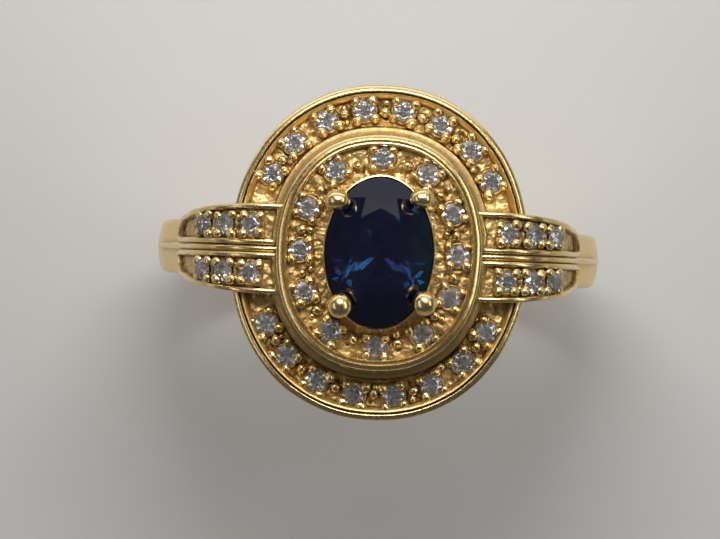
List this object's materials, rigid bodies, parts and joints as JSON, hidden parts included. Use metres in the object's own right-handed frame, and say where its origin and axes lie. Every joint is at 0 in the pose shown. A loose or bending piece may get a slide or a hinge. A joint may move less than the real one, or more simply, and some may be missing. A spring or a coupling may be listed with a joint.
{
  "type": "engagement ring",
  "caption": "Tiered oval cluster ring: blue oval stone in ball-tipped claws on stacked gold halo plates set with small white stones, with stone-set shoulder bars on a tapered band.",
  "frame": {"origin": "centre of the finger hole, midway across the band's width", "axes": "+Y along the finger, +Z out through the head so that the stones face +Z, +X across the finger to the right when the stones are seen with +Y up"},
  "size_m": [0.0216, 0.0156, 0.0262],
  "materials": {
    "polished_gold": "polished yellow gold with fine wear",
    "bright_cut_gold": "high polish",
    "blue_sapphire": "faceted, polished",
    "small_diamonds": "faceted, polished"
  },
  "bodies": {
    "root": {"shank": "polished_gold", "gallery_upper": "polished_gold", "gallery_lower": "polished_gold", "outer_halo_plate": "polished_gold", "outer_halo_rim": "bright_cut_gold", "halo_collar": "polished_gold", "inner_halo_plate": "polished_gold", "inner_halo_rim": "bright_cut_gold", "centre_collet": "polished_gold", "sapphire": "blue_sapphire", "left_upper_claw": "bright_cut_gold", "right_upper_claw": "bright_cut_gold", "left_lower_claw": "bright_cut_gold", "right_lower_claw": "bright_cut_gold", "left_shoulder_rib": "bright_cut_gold", "right_shoulder_rib": "bright_cut_gold", "left_upper_shoulder_bar": "polished_gold", "left_lower_shoulder_bar": "polished_gold", "right_upper_shoulder_bar": "polished_gold", "right_lower_shoulder_bar": "polished_gold", "upper_arc_diamond_1": "small_diamonds", "upper_arc_diamond_2": "small_diamonds", "upper_arc_diamond_3": "small_diamonds", "upper_arc_diamond_4": "small_diamonds", "upper_arc_diamond_5": "small_diamonds", "upper_arc_diamond_6": "small_diamonds", "upper_arc_diamond_7": "small_diamonds", "upper_arc_diamond_8": "small_diamonds", "lower_arc_diamond_1": "small_diamonds", "lower_arc_diamond_2": "small_diamonds", "lower_arc_diamond_3": "small_diamonds", "lower_arc_diamond_4": "small_diamonds", "lower_arc_diamond_5": "small_diamonds", "lower_arc_diamond_6": "small_diamonds", "lower_arc_diamond_7": "small_diamonds", "lower_arc_diamond_8": "small_diamonds", "inner_halo_diamond_1": "small_diamonds", "inner_halo_diamond_2": "small_diamonds", "inner_halo_diamond_3": "small_diamonds", "inner_halo_diamond_4": "small_diamonds", "inner_halo_diamond_5": "small_diamonds", "inner_halo_diamond_6": "small_diamonds", "inner_halo_diamond_7": "small_diamonds", "inner_halo_diamond_8": "small_diamonds", "inner_halo_diamond_9": "small_diamonds", "inner_halo_diamond_10": "small_diamonds", "inner_halo_diamond_11": "small_diamonds", "inner_halo_diamond_12": "small_diamonds", "left_upper_bar_diamond_1": "small_diamonds", "left_upper_bar_diamond_2": "small_diamonds", "left_upper_bar_diamond_3": "small_diamonds", "left_lower_bar_diamond_1": "small_diamonds", "left_lower_bar_diamond_2": "small_diamonds", "left_lower_bar_diamond_3": "small_diamonds", "right_upper_bar_diamond_1": "small_diamonds", "right_upper_bar_diamond_2": "small_diamonds", "right_upper_bar_diamond_3": "small_diamonds", "right_lower_bar_diamond_1": "small_diamonds", "right_lower_bar_diamond_2": "small_diamonds", "right_lower_bar_diamond_3": "small_diamonds"}
  },
  "joints": []
}
